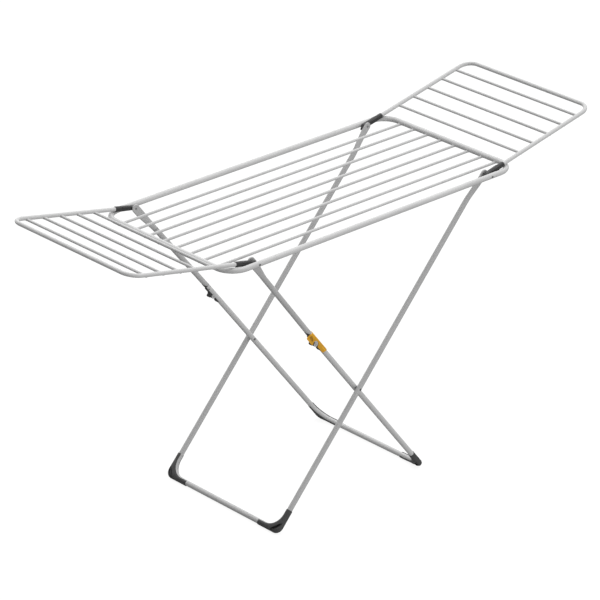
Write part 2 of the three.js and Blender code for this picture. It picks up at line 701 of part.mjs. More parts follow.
// A sleeve with an open underside. Its far cheek is short. Its near cheek has a round notch about
// the elbow's ear, ended by a hook, and a thumb panel with a recess above its lip.
function lockSlider() {
  const innerR = LEG_TUBE_R + GAP;
  const outerR = innerR + SLIDER_WALL;
  const skirt = -20;
  const section = new THREE.Shape();
  section.moveTo(-outerR, skirt);
  section.lineTo(-outerR, 0);
  section.absarc(0, 0, outerR, Math.PI, 0, true);
  section.lineTo(outerR, skirt);
  section.lineTo(innerR, skirt);
  section.lineTo(innerR, 0);
  section.absarc(0, 0, innerR, 0, Math.PI, false);
  section.lineTo(-innerR, skirt);
  section.closePath();
  const sleeve = new THREE.ExtrudeGeometry(section, {
    depth: SLIDER_END - SLIDER_PANEL_START, bevelEnabled: false, curveSegments: 8,
  });
  sleeve.applyMatrix4(new THREE.Matrix4().makeBasis(at(0, 1, 0), at(0, 0, 1), at(1, 0, 0)));
  sleeve.translate(SLIDER_PANEL_START, 0, 0);

  const panelStart = SLIDER_PANEL_START;
  const near = new THREE.Shape();
  near.moveTo(SLIDER_START, 2 * outerR);
  near.lineTo(SLIDER_END, 2 * outerR);
  near.lineTo(SLIDER_END, 6);
  near.lineTo(SLIDER_END - 3, 0);
  near.lineTo(SLIDER_END - 6.5, -6.5);
  near.lineTo(SLIDER_END - 11, -9.6);
  near.absarc(ELBOW_PIN_S - 3.2, -10.8, SLIDER_NOTCH_R, 0.1, Math.PI - 0.03, false);
  near.lineTo(ELBOW_PIN_S - 11, -14.9);
  near.lineTo(ELBOW_PIN_S - 14, -18);
  near.lineTo(ELBOW_PIN_S - 18, -19.4);
  near.lineTo(panelStart + 3, -18.2);
  near.lineTo(panelStart, -16.5);
  near.lineTo(panelStart, -13);
  near.lineTo(panelStart + 3, -2);
  near.lineTo(SLIDER_START, 6);
  near.closePath();
  const far = new THREE.Shape();
  far.moveTo(SLIDER_START, 2 * outerR);
  far.lineTo(SLIDER_END, 2 * outerR);
  far.lineTo(SLIDER_END, 6);
  far.lineTo(SLIDER_END - 6.5, -5.5);
  far.lineTo(SLIDER_START, -5.5);
  far.closePath();
  const recess = new THREE.Shape([
    new THREE.Vector2(panelStart + 4.5, -9.5),
    new THREE.Vector2(panelStart + 12, -1),
    new THREE.Vector2(panelStart + 28, -7.5),
    new THREE.Vector2(panelStart + 25, -12.5),
  ]);
  const halfWidth = outerR + 1;
  const cheeks = joined(
    sidePlate(near, halfWidth).translate(0, -halfWidth / 2, 0),
    sidePlate(far, halfWidth).translate(0, halfWidth / 2, 0),
  );
  const sunk = sidePlate(recess, 2 * SLIDER_RECESS).translate(0, -outerR, 0);
  return cut(common(sleeve, cheeks), sunk);
}

function addLockSlider() {
  const slider = piece('lock_slider', lockSlider(), yellowPlastic(), innerFrame);
  slider.position.y = -INNER_Y;
}

// ---------------------------------------------------------------- the whole rack

addTopFrame();
addPivotRivets();
addWing('right', 0);
addWing('left', Math.PI);
addOuterLegFrame();
addInnerLegFrame();
addUpperLinks();
addLockSlider();

export default rack;
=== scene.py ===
"""A folding clothes drying rack: the looks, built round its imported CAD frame.

Lengths in the constants are in millimetres. Each mesh is made in millimetres in a local frame
and then placed in metres. "near" is the -Y side and "far" the +Y side.
"""
import json
import math

import bmesh
import bpy
import numpy as np
from mathutils import Matrix, Vector


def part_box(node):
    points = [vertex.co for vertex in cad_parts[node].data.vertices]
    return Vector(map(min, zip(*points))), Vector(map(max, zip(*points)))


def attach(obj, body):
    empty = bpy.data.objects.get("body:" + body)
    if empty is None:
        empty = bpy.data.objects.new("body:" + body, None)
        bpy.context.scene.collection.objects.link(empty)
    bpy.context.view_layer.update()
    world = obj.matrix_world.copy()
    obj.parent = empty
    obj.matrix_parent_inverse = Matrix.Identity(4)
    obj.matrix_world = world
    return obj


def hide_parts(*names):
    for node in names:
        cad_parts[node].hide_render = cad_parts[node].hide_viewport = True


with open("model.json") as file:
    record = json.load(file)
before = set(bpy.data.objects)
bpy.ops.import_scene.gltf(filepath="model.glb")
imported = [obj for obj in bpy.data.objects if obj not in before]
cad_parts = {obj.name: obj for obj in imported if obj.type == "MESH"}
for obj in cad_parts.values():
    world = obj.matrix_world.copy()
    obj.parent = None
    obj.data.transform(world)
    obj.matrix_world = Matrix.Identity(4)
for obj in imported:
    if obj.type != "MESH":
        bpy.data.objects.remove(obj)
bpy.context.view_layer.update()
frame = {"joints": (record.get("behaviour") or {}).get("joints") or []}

MM = 0.001
NEAR_AND_FAR = (("near", -1), ("far", 1))
LEFT_AND_RIGHT = (("left", -1), ("right", 1))

# ---------------------------------------------------------------- sizes from the frame

joints = {joint["name"]: joint for joint in frame["joints"]}
LEFT_PIVOT = Vector(joints["link_fold"]["pos_m"])
RIGHT_PIVOT = Vector(joints["leg_fold"]["pos_m"])
PIVOT_X = RIGHT_PIVOT.x / MM
TOP_Z = RIGHT_PIVOT.z / MM


def box_mm(node):
    """The lowest and highest corner of a CAD node, in millimetres."""
    low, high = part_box(node)
    return low / MM, high / MM


ring_low, ring_high = box_mm("main_frame_tube")
TOP_TUBE_R = (ring_high.z - ring_low.z) / 2
TOP_HALF_LENGTH = ring_high.x - TOP_TUBE_R
TOP_HALF_WIDTH = ring_high.y - TOP_TUBE_R
TOP_CORNERS = [
    (TOP_HALF_LENGTH, -TOP_HALF_WIDTH), (TOP_HALF_LENGTH, TOP_HALF_WIDTH),
    (-TOP_HALF_LENGTH, TOP_HALF_WIDTH), (-TOP_HALF_LENGTH, -TOP_HALF_WIDTH),
]

# ---------------------------------------------------------------- sizes that the CAD also uses

TOP_BEND_R = 58
WIRE_R = 4.1
WING_TILT = math.radians(11.93)
WING_TUBE_R = 6
WING_LENGTH = 442.3
WING_HALF_WIDTH = 253.4
WING_BEND_R = 39
WING_ARM_START = 22
WING_WIRES = 5
WING_FIRST_WIRE = 54.65
WING_WIRE_SPACING = 60.85
WING_WIRE_DROP = 3.2
WING_WIRE_OVERHANG = 2.5
CLIP_Y = 253.4
CLIP_WIDTH = 15.9
LEG_TUBE_R = 8
LEG_BEND_R = 52
OUTER_ANGLE = math.radians(47.7)
OUTER_LENGTH = 1185
OUTER_Y = 235.2
INNER_ANGLE = math.radians(51.97)
INNER_LENGTH = 1112
INNER_Y = 216.9
PLATE_Y = 242.7
PLATE_HALF_WIDTH = 12.4
PLATE_END = 14
PLATE_BLEND_END = 100
LINK_SPLAY_Y = 232
ELBOW_S = 384.5
LINK_END = 383.8
SLOT_END = 461.5
SLOT_HALF_WIDTH = 5.2
SLOT_ROOF = 3
ELBOW_PIN_S = 429
ELBOW_PIN_T = -8.6
EAR_R = 6.6
KNOB = (417.8, -14.8)
KNOB_R = 4.6
BASE_START = 447.8
DETENT_S = 397
DETENT_T = -4
SLIDER_START = 390
SLIDER_PANEL_START = 381.3
SLIDER_END = 478
SLIDER_NOTCH_R = 12.3
SLIDER_INNER_R = 8.3
SLIDER_OUTER_R = 9.8
CAP_R = 9.6
CAP_ALONG_BAR = 78
CAP_ALONG_OUTER_LEG = 68
CAP_ALONG_INNER_LEG = 60
CAP_CORNER_R = 22
CAP_LIP = 5

# ---------------------------------------------------------------- sizes of the fine surface

TUBE_SIDES = 32
WIRE_SIDES = 16
BEND_STEPS = 20

# ---------------------------------------------------------------- camera

CAMERA_AZIMUTH = math.radians(-42.64)
CAMERA_ELEVATION = math.radians(25.08)
CAMERA_DISTANCE = 10.06
CAMERA_LENS = 208.44
CAMERA_AIM = Vector((0.0, 0.0493, 0.5269))


def add_camera():
    data = bpy.data.cameras.new("camera")
    data.sensor_width = 36
    data.lens = CAMERA_LENS
    data.clip_end = 100
    camera = bpy.data.objects.new("camera", data)
    bpy.context.scene.collection.objects.link(camera)
    back = Vector((
        math.sin(CAMERA_AZIMUTH) * math.cos(CAMERA_ELEVATION),
        -math.cos(CAMERA_AZIMUTH) * math.cos(CAMERA_ELEVATION),
        math.sin(CAMERA_ELEVATION),
    ))
    camera.location = CAMERA_AIM + CAMERA_DISTANCE * back
    camera.rotation_euler = (-back).to_track_quat("-Z", "Y").to_euler()
    bpy.context.scene.camera = camera


# ---------------------------------------------------------------- materials

class Nodes:
    """A material's node tree, with short ways to add and link nodes."""

    def __init__(self, name):
        self.material = bpy.data.materials.new(name)
        self.material.use_nodes = True
        self.tree = self.material.node_tree
        self.shader = self.tree.nodes["Principled BSDF"]
        self.place = self.add("ShaderNodeTexCoord").outputs["Object"]

    def add(self, kind, **settings):
        node = self.tree.nodes.new(kind)
        for key, value in settings.items():
            setattr(node, key, value)
        return node

    def link(self, source, target):
        self.tree.links.new(source, target)

    def noise(self, scale, detail=3, stretch=(1, 1, 1)):
        """Noise with about scale bumps in a metre."""
        mapping = self.add("ShaderNodeMapping")
        mapping.inputs["Scale"].default_value = stretch
        self.link(self.place, mapping.inputs["Vector"])
        noise = self.add("ShaderNodeTexNoise")
        noise.inputs["Scale"].default_value = scale
        noise.inputs["Detail"].default_value = detail
        self.link(mapping.outputs["Vector"], noise.inputs["Vector"])
        return noise.outputs["Fac"]

    def ramp(self, value, low, high, start=0.35, end=0.65):
        """Turns a value from start to end into a colour or number from low to high."""
        ramp = self.add("ShaderNodeValToRGB")
        for element, position, colour in zip(ramp.color_ramp.elements, (start, end), (low, high)):
            element.position = position
            element.color = (*colour, 1) if isinstance(colour, tuple) else (colour, colour, colour, 1)
        self.link(value, ramp.inputs["Fac"])
        return ramp.outputs["Color"]

    def mix(self, amount, first, second):
        mix = self.add("ShaderNodeMix", data_type="RGBA")
        self.link(amount, mix.inputs["Factor"])
        self.link(first, mix.inputs["A"])
        self.link(second, mix.inputs["B"])
        return mix.outputs["Result"]

    def bump(self, height, strength, distance):
        bump = self.add("ShaderNodeBump")
        bump.inputs["Strength"].default_value = strength
        bump.inputs["Distance"].default_value = distance
        self.link(height, bump.inputs["Height"])
        return bump

    def edges(self, start, end):
        """Near 1 on sharp outer edges and 0 elsewhere."""
        return self.ramp(self.add("ShaderNodeNewGeometry").outputs["Pointiness"], 0, 1, start, end)


def scaled(colour, factor):
    return tuple(channel * factor for channel in colour)


def coated_metal(name, colour, roughness=0.42):
    """Powder coat: an even colour with orange peel, faint rubs along the tube and worn edges."""
    nodes = Nodes(name)
    tint = nodes.ramp(nodes.noise(9), scaled(colour, 0.965), scaled(colour, 1.02))
    rub = nodes.ramp(nodes.noise(140, 4, (0.15, 1, 1)), 0, 1, 0.62, 0.74)
    rubbed = nodes.mix(rub, tint, nodes.ramp(nodes.noise(30), scaled(colour, 0.95), scaled(colour, 0.97)))
    bare = nodes.ramp(nodes.noise(60), (0.5,) * 3, (0.6,) * 3)
    nodes.link(nodes.mix(nodes.edges(0.56, 0.7), rubbed, bare), nodes.shader.inputs["Base Color"])
    sheen = nodes.ramp(nodes.noise(70, 5), roughness - 0.06, roughness + 0.08)
    nodes.link(sheen, nodes.shader.inputs["Roughness"])
    peel = nodes.bump(nodes.noise(900, 2), 0.12, 0.0002)
    speck = nodes.bump(nodes.noise(2600, 1), 0.05, 0.0001)
    nodes.link(peel.outputs["Normal"], speck.inputs["Normal"])
    nodes.link(speck.outputs["Normal"], nodes.shader.inputs["Normal"])
    nodes.shader.inputs["Specular IOR Level"].default_value = 0.35
    return nodes.material


def moulded_plastic(name, colour, roughness=0.55):
    """Moulded plastic: spark-eroded grain, faint flow marks and paler rubbed edges."""
    nodes = Nodes(name)
    tint = nodes.ramp(nodes.noise(45, 4), scaled(colour, 0.9), scaled(colour, 1.1))
    paler = nodes.ramp(nodes.noise(90), scaled(colour, 1.35), scaled(colour, 1.6))
    nodes.link(nodes.mix(nodes.edges(0.54, 0.66), tint, paler), nodes.shader.inputs["Base Color"])
    sheen = nodes.ramp(nodes.noise(300, 4), roughness - 0.07, roughness + 0.1)
    nodes.link(sheen, nodes.shader.inputs["Roughness"])
    texture = nodes.bump(nodes.noise(1600, 3), 0.25, 0.00025)
    flow = nodes.bump(nodes.noise(60, 2, (1, 1, 0.3)), 0.1, 0.0006)
    nodes.link(texture.outputs["Normal"], flow.inputs["Normal"])
    nodes.link(flow.outputs["Normal"], nodes.shader.inputs["Normal"])
    nodes.shader.inputs["Specular IOR Level"].default_value = 0.4
    return nodes.material


def plated_steel(name, colour):
    """Zinc plate: metallic, slightly mottled, with a fine grain."""
    nodes = Nodes(name)
    mottle = nodes.ramp(nodes.noise(500, 4), scaled(colour, 0.8), scaled(colour, 1.1))
    nodes.link(mottle, nodes.shader.inputs["Base Color"])
    nodes.link(nodes.ramp(nodes.noise(900, 3), 0.28, 0.5), nodes.shader.inputs["Roughness"])
    grain = nodes.bump(nodes.noise(1500, 2), 0.2, 0.0001)
    nodes.link(grain.outputs["Normal"], nodes.shader.inputs["Normal"])
    nodes.shader.inputs["Metallic"].default_value = 1
    return nodes.material


def floor_paint():
    """Matt and pale. Most of its brightness is its own, so that the floor stays an even white."""
    nodes = Nodes("studio_floor")
    nodes.link(nodes.ramp(nodes.noise(1.5), (0.14,) * 3, (0.16,) * 3), nodes.shader.inputs["Base Color"])
    nodes.shader.inputs["Roughness"].default_value = 0.9
    nodes.shader.inputs["Specular IOR Level"].default_value = 0
    nodes.shader.inputs["Emission Color"].default_value = (1, 1, 1, 1)
    nodes.shader.inputs["Emission Strength"].default_value = 0.9
    return nodes.material


FRAME_PAINT = coated_metal("frame_paint", (0.62, 0.62, 0.62))
# The frame's paint made darker for the legs, links, ears and plates: painted shade, since their own paint is
# the frame's.
LEG_PAINT_WITH_PAINTED_SHADE = coated_metal("leg_paint_with_painted_shade", (0.52, 0.52, 0.52))
WIRE_PAINT = coated_metal("wire_paint", (0.61, 0.61, 0.61), 0.45)
DARK_PLASTIC = moulded_plastic("dark_plastic", (0.064, 0.064, 0.065))
CLIP_PLASTIC = moulded_plastic("clip_plastic", (0.034, 0.034, 0.035), 0.4)
ELBOW_PLASTIC = moulded_plastic("elbow_plastic", (0.036, 0.036, 0.037), 0.5)
YELLOW_PLASTIC = moulded_plastic("yellow_plastic", (0.72, 0.36, 0.012), 0.45)
RIVET_STEEL = plated_steel("rivet_steel", (0.16, 0.162, 0.165))
PIVOT_STEEL = plated_steel("pivot_steel", (0.34, 0.342, 0.345))
WASHER_NYLON = moulded_plastic("washer_nylon", (0.3, 0.305, 0.31), 0.5)
# A darker copy of the yellow plastic for the slider's sunk panel: painted shade in the recess.
YELLOW_RECESS_PAINTED_SHADE = moulded_plastic("yellow_recess_painted_shade", (0.44, 0.2, 0.006), 0.5)
# Near-black plastic laid inside the foot caps' pockets and on the detent holes' walls: painted shade in the
# hollows.
HOLLOW_PAINTED_SHADE = moulded_plastic("hollow_painted_shade", (0.016, 0.016, 0.0165), 0.8)

# ---------------------------------------------------------------- mesh making


def add_piece(name, points, faces, place, material, body=None, slot=None, replaced=(), angle=35):
    """Adds a mesh from local points in millimetres. place is its frame, in metres."""
    mesh = bpy.data.meshes.new(name)
    world = [place @ (Vector(point) * MM) for point in points]
    mesh.from_pydata([tuple(point) for point in world], [], faces)
    mesh.validate()
    piece = bpy.data.objects.new(name, mesh)
    bpy.context.scene.collection.objects.link(piece)
    mesh.materials.append(material)
    recalculate_normals(mesh)
    smooth(piece, angle)
    if body:
        settle(piece, body, replaced)
    return piece


def settle(piece, body, replaced=()):
    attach(piece, body)
    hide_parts(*replaced)


def recalculate_normals(mesh):
    """Turns every face outwards, and merges points that lie on each other."""
    edit = bmesh.new()
    edit.from_mesh(mesh)
    bmesh.ops.remove_doubles(edit, verts=edit.verts, dist=1e-7)
    bmesh.ops.recalc_face_normals(edit, faces=edit.faces)
    edit.to_mesh(mesh)
    edit.free()


def smooth(piece, angle=35):
    piece.data.shade_smooth()
    piece.data.set_sharp_from_angle(angle=math.radians(angle))


def apply_modifiers(piece):
    view = bpy.context.evaluated_depsgraph_get()
    view.update()
    mesh = bpy.data.meshes.new_from_object(piece.evaluated_get(view))
    piece.modifiers.clear()
    old = piece.data
    piece.data = mesh
    mesh.name = piece.name
    bpy.data.meshes.remove(old)


def combine(piece, other, operation):
    """Cuts, joins or keeps the common part of two closed pieces. The second one is used up."""
    modifier = piece.modifiers.new("combine", "BOOLEAN")
    modifier.object = other
    modifier.operation = operation
    modifier.solver = "EXACT"
    modifier.material_mode = "TRANSFER"
    apply_modifiers(piece)
    bpy.data.objects.remove(other)


def soften(piece, width):
    """Rounds the sharp edges by width, in millimetres."""
    modifier = piece.modifiers.new("soften", "BEVEL")
    modifier.width = width * MM
    modifier.segments = 2
    modifier.limit_method = "ANGLE"
    modifier.angle_limit = math.radians(40)
    modifier.use_clamp_overlap = True
    modifier.miter_outer = "MITER_ARC"
    apply_modifiers(piece)
    smooth(piece)


def circle(radius, sides):
    angles = [2 * math.pi * side / sides for side in range(sides)]
    return [(radius * math.cos(angle), radius * math.sin(angle)) for angle in angles]


def arc(centre, radius, start, end, steps):
    """Points round an arc, angles in degrees."""
    points = []
    for step in range(steps + 1):
        angle = math.radians(start + (end - start) * step / steps)
        points.append((centre[0] + radius * math.cos(angle), centre[1] + radius * math.sin(angle)))
    return points


def rounded_path(corners, spacing=60):
    """Points through flat corners, each (x, y, bend radius), with straights cut to spacing."""
    points = []
    for index, (x, y, bend) in enumerate(corners):
        here = Vector((x, y))
        if bend == 0:
            points.append(here)
            continue
        back = (Vector(corners[index - 1][:2]) - here).normalized()
        onward = (Vector(corners[(index + 1) % len(corners)][:2]) - here).normalized()
        centre = here + bend * (back + onward)
        for step in range(BEND_STEPS + 1):
            turn = math.pi / 2 * step / BEND_STEPS
            points.append(centre - bend * (onward * math.cos(turn) + back * math.sin(turn)))
    filled = [points[0]]
    for point in points[1:]:
        pieces = max(1, math.ceil((point - filled[-1]).length / spacing))
        start = filled[-1]
        filled.extend(start.lerp(point, step / pieces) for step in range(1, pieces + 1))
    return filled


def sweep(path, sections, closed=False):
    """Joins a loop of (outward, up) offsets at each point of a flat path that runs
    anticlockwise. Returns points and faces, with flat faces over the open ends."""
    count = len(path)
    sides = len(sections[0])
    points = []
    for index, here in enumerate(path):
        before = path[index - 1] if closed or index > 0 else here
        after = path[(index + 1) % count] if closed or index < count - 1 else here
        arriving = (here - before).normalized() if (here - before).length else Vector((0, 0))
        leaving = (after - here).normalized() if (after - here).length else Vector((0, 0))
        tangent = (arriving + leaving).normalized()
        outward = Vector((tangent.y, -tangent.x))
        for offset, up in sections[index]:
            place = here + outward * offset
            points.append((place.x, place.y, up))
    faces = []
    for index in range(count if closed else count - 1):
        first = index * sides
        second = (index + 1) % count * sides
        for side in range(sides):
            after = (side + 1) % sides
            faces.append([first + side, first + after, second + after, second + side])
    if not closed:
        faces.append(list(range(sides)))
        faces.append(list(range((count - 1) * sides, count * sides)))
    return points, faces


def turned(profile, sides=TUBE_SIDES):
    """Points and faces of a solid of revolution about Y, from (radius, y) pairs. The profile
    starts and ends on the axis, or closes on itself."""
    points = []
    for radius, y in profile:
        for side in range(sides):
            angle = 2 * math.pi * side / sides
            points.append((radius * math.cos(angle), y, radius * math.sin(angle)))
    faces = []
    for row in range(len(profile) - 1):
        for side in range(sides):
            after = (side + 1) % sides
            here, above = row * sides, (row + 1) * sides
            faces.append([here + side, here + after, above + after, above + side])
    return points, faces


def prism(outline, low, high):
    """A flat outline in X and Z with thickness from low to high along Y."""
    count = len(outline)
    points = [(x, y, z) for y in (low, high) for x, z in outline]
    faces = [list(range(count)), list(range(count, 2 * count))]
    for index in range(count):
        after = (index + 1) % count
        faces.append([index, after, count + after, count + index])
    return points, faces


def block(low, high):
    """A box between two corners."""
    outline = [(low[0], low[2]), (high[0], low[2]), (high[0], high[2]), (low[0], high[2])]
    return prism(outline, low[1], high[1])


def rod_y(radius, low, high, x=0, z=0):
    """A plain rod along Y at x and z."""
    points, faces = turned([(0, low), (radius, low), (radius, high), (0, high)])
    return [(px + x, py, pz + z) for px, py, pz in points], faces


def eased(value):
    """0 to 1, with a slow start and end."""
    value = min(max(value, 0), 1)
    return value * value * (3 - 2 * value)


def mixed(first, second, amount):
    return first + (second - first) * amount


# ---------------------------------------------------------------- places

TOP_PLACE = Matrix.Translation((0, 0, TOP_Z * MM))
OUTER_PLACE = Matrix.Translation(RIGHT_PIVOT) @ Matrix.Rotation(math.pi - OUTER_ANGLE, 4, "Y")
INNER_PLACE = Matrix.Translation(LEFT_PIVOT) @ Matrix.Rotation(INNER_ANGLE, 4, "Y")
OUTER_CROSSING = 2 * PIVOT_X * math.sin(INNER_ANGLE) / math.sin(OUTER_ANGLE + INNER_ANGLE)
INNER_CROSSING = 2 * PIVOT_X * math.sin(OUTER_ANGLE) / math.sin(OUTER_ANGLE + INNER_ANGLE)


def wing_place(side):
    """A wing's frame: X runs out along its arms from the pivots, and Z is up from them."""
    turn = Matrix.Rotation(0 if side > 0 else math.pi, 4, "Z")
    tilt = Matrix.Rotation(-WING_TILT, 4, "Y")
    return TOP_PLACE @ turn @ Matrix.Translation((PIVOT_X * MM, 0, 0)) @ tilt


# ---------------------------------------------------------------- wires and welds

WIRE_END_R = 1.2
BEAD_SIDES = 6
BEAD_STEPS = 18


def wire_points(half_length):
    """A straight rod along X with its end edges rounded to WIRE_END_R."""
    path = []
    sections = []
    for end, steps in ((-1, range(4)), (1, range(3, -1, -1))):
        for step in steps:
            turn = math.pi / 2 * step / 3
            radius = WIRE_R - WIRE_END_R + WIRE_END_R * math.sin(turn)
            inset = WIRE_END_R * (1 - math.cos(turn))
            path.append(Vector((end * (half_length - inset), 0)))
            sections.append(circle(radius, WIRE_SIDES))
    return sweep(path, sections)


def weld_bead(tube_r, drop, x, y, direction, along_x=True, bead=1.1):
    """A bead round the place where a wire runs into the underside of a tube at x."""
    points = []
    for step in range(BEAD_STEPS):
        angle = 2 * math.pi * step / BEAD_STEPS
        swell = bead * (0.85 + 0.15 * math.sin(5 * angle + y))
        across = WIRE_R * math.cos(angle)
        height = WIRE_R * math.sin(angle)
        reach = math.sqrt(max(tube_r ** 2 - (height - drop) ** 2, 1.0))
        for side in range(BEAD_SIDES):
            turn = 2 * math.pi * side / BEAD_SIDES
            push = swell * math.sin(turn)
            spread = 1 + swell * math.cos(turn) / WIRE_R
            place = (x - direction * (reach - push), y + across * spread, height * spread - drop)
            points.append(place if along_x else (place[1], place[0], place[2]))
    faces = []
    for step in range(BEAD_STEPS):
        here = step * BEAD_SIDES
        onward = (step + 1) % BEAD_STEPS * BEAD_SIDES
        for side in range(BEAD_SIDES):
            after = (side + 1) % BEAD_SIDES
            faces.append([here + side, here + after, onward + after, onward + side])
    return points, faces


def gather(parts):
    """Joins several (points, faces) into one."""
    points = []
    faces = []
    for part_points, part_faces in parts:
        start = len(points)
        points.extend(part_points)
        faces.extend([start + corner for corner in face] for face in part_faces)
    return points, faces


# ---------------------------------------------------------------- top frame

SEAM_X = -388
SEAM_HALF_WIDTH = 1.3
SEAM_DEPTH = 0.9
SINK_R = 3.7
SINK_DEPTH = 1.5
PIVOT_HEAD_R = 3.2
PIVOT_HEAD_HEIGHT = 0.6
CROSSING_HEAD_R = 3.6
CROSSING_HEAD_HEIGHT = 1.1
RIVET_SHANK_R = 2.2


def build_top_frame():
    """The ring, with the seam of its butt joint on the near side and a sink round each rivet."""
    path = rounded_path([(x, y, TOP_BEND_R) for x, y in TOP_CORNERS])
    seam = [SEAM_X + step * SEAM_HALF_WIDTH for step in (-2, -1, 0, 1, 2)]
    straight = (-480, -455, *seam, -330, -250, -150, 0, 150, 300, 400)
    path.extend(Vector((x, -TOP_HALF_WIDTH)) for x in straight)
    sections = []
    for point in path:
        radius = TOP_TUBE_R
        if point.y == -TOP_HALF_WIDTH and abs(point.x - SEAM_X) < SEAM_HALF_WIDTH / 2:
            radius -= SEAM_DEPTH
        sections.append(circle(radius, TUBE_SIDES))
    points, faces = sweep(path, sections, closed=True)
    tube = add_piece("top_frame_tube", points, faces, TOP_PLACE, FRAME_PAINT)
    surface = TOP_HALF_WIDTH + TOP_TUBE_R
    for pivot in (LEFT_PIVOT, RIGHT_PIVOT):
        for _, side in NEAR_AND_FAR:
            sink = mirrored(rod_y(SINK_R, surface - SINK_DEPTH, surface + 2, pivot.x / MM), side)
            combine(tube, add_piece("rivet_sink", *sink, TOP_PLACE, PIVOT_STEEL), "DIFFERENCE")
    smooth(tube)
    settle(tube, "top_frame", ["main_frame_tube"])
    build_top_wires()


def build_top_wires():
    beads = []
    for index in range(8):
        node = f"main_wire_{index + 1}"
        low, high = box_mm(node)
        middle_y = (low.y + high.y) / 2
        middle_z = (low.z + high.z) / 2
        place = Matrix.Translation((0, middle_y * MM, middle_z * MM))
        points, faces = wire_points(high.x)
        add_piece(
            f"top_wire_{index + 1}", points, faces, place, WIRE_PAINT, "top_frame", "wire_paint", [node],
        )
        for _, end in LEFT_AND_RIGHT:
            drop = TOP_Z - middle_z
            beads.append(weld_bead(TOP_TUBE_R, drop, end * TOP_HALF_LENGTH, middle_y, end))
    points, faces = gather(beads)
    add_piece("top_welds", points, faces, TOP_PLACE, WIRE_PAINT, "top_frame", "wire_paint")


def domed_rivet(inner_y, outer_y, shank_r, head_r, head_height):
    """A rivet along Y with a shallow dome at each end, each with a dimple."""
    dome = [(head_r * math.sin(turn), head_height * math.cos(turn)) for turn in np.radians((45, 65, 90))]
    profile = [(0, inner_y - head_height * 0.35), (head_r * 0.45, inner_y - head_height * 0.45)]
    profile += [(radius, inner_y - height) for radius, height in dome]
    profile += [(shank_r, inner_y), (shank_r, outer_y)]
    profile += [(radius, outer_y + height) for radius, height in reversed(dome)]
    profile += [(head_r * 0.45, outer_y + head_height * 0.45), (0, outer_y + head_height * 0.2)]
    return turned(profile, 24)


def mirrored(part, side):
    """A part made for the far side, moved to the side asked for."""
    points, faces = part
    return [(x, side * y, z) for x, y, z in points], faces


def build_pivot_rivets():
    inner_y = PLATE_Y - 2.4
    outer_y = TOP_HALF_WIDTH + TOP_TUBE_R - 1.1
    rivet = domed_rivet(inner_y, outer_y, RIVET_SHANK_R, PIVOT_HEAD_R, PIVOT_HEAD_HEIGHT)
    for end, x in (("left", LEFT_PIVOT.x), ("right", RIGHT_PIVOT.x)):
        for name, side in NEAR_AND_FAR:
            add_piece(
                f"rivet_{end}_{name}", *mirrored(rivet, side), Matrix.Translation((x, 0, TOP_Z * MM)),
                PIVOT_STEEL, "top_frame", "rivet_steel", [f"pivot_rivet_{end}_{name}"],
            )


# ---------------------------------------------------------------- wings

def build_wing(name, side):
    place = wing_place(side)
    body = f"wing_{name}"
    half = WING_HALF_WIDTH
    path = rounded_path([
        (WING_ARM_START, -half, 0), (WING_LENGTH, -half, WING_BEND_R), (WING_LENGTH, half, WING_BEND_R),
        (WING_ARM_START, half, 0),
    ])
    points, faces = sweep(path, [circle(WING_TUBE_R, TUBE_SIDES)] * len(path))
    add_piece(
        f"wing_tube_{name}", points, faces, place, FRAME_PAINT, body, "frame_paint", [f"wing_{name}_tube"],
    )
    beads = []
    for index in range(WING_WIRES):
        x = WING_LENGTH - WING_FIRST_WIRE - index * WING_WIRE_SPACING
        points, faces = wire_points(half + WING_WIRE_OVERHANG - 0.2)
        middle = Matrix.Translation((x * MM, 0, -WING_WIRE_DROP * MM))
        across = place @ middle @ Matrix.Rotation(math.pi / 2, 4, "Z")
        add_piece(
            f"wing_{name}_rung_{index + 1}", points, faces, across, WIRE_PAINT, body, "wire_paint",
            [f"wing_{name}_wire_{index + 1}"],
        )
        for _, end in NEAR_AND_FAR:
            bead = weld_bead(WING_TUBE_R, WING_WIRE_DROP, end * half, x, end, along_x=False, bead=0.9)
            beads.append(bead)
    points, faces = gather(beads)
    add_piece(f"wing_{name}_welds", points, faces, place, WIRE_PAINT, body, "wire_paint")


# ---------------------------------------------------------------- hinge clips

CLIP_TAIL = 18
CLIP_COLLAR_START = 46
CLIP_COLLAR_END = 69
CLIP_COLLAR_R = 7.9
CLIP_SIDES = 48
TOP_GROOVE = 26  # each groove's angle from straight up, round the arm, in degrees
SIDE_GROOVE = 78


def clip_section(half_width, half_height, groove):
    """A squarish bar's section with two grooves along its top and one along each side."""
    section = []
    for index in range(CLIP_SIDES):
        angle = 2 * math.pi * index / CLIP_SIDES
        x, z = math.cos(angle), math.sin(angle)
        size = (abs(x) ** 4 + abs(z) ** 4) ** (-1 / 4)
        from_top = math.degrees(math.acos(max(-1, min(1, z))))
        sunk = groove * (dip(from_top, TOP_GROOVE, 13) + 0.7 * dip(from_top, SIDE_GROOVE, 16))
        section.append((size * x * (half_width - sunk), size * z * (half_height - sunk)))
    return section


def dip(value, middle, reach):
    """1 at the middle, easing to 0 at reach on either side."""
    return eased(1 - abs(value - middle) / reach)


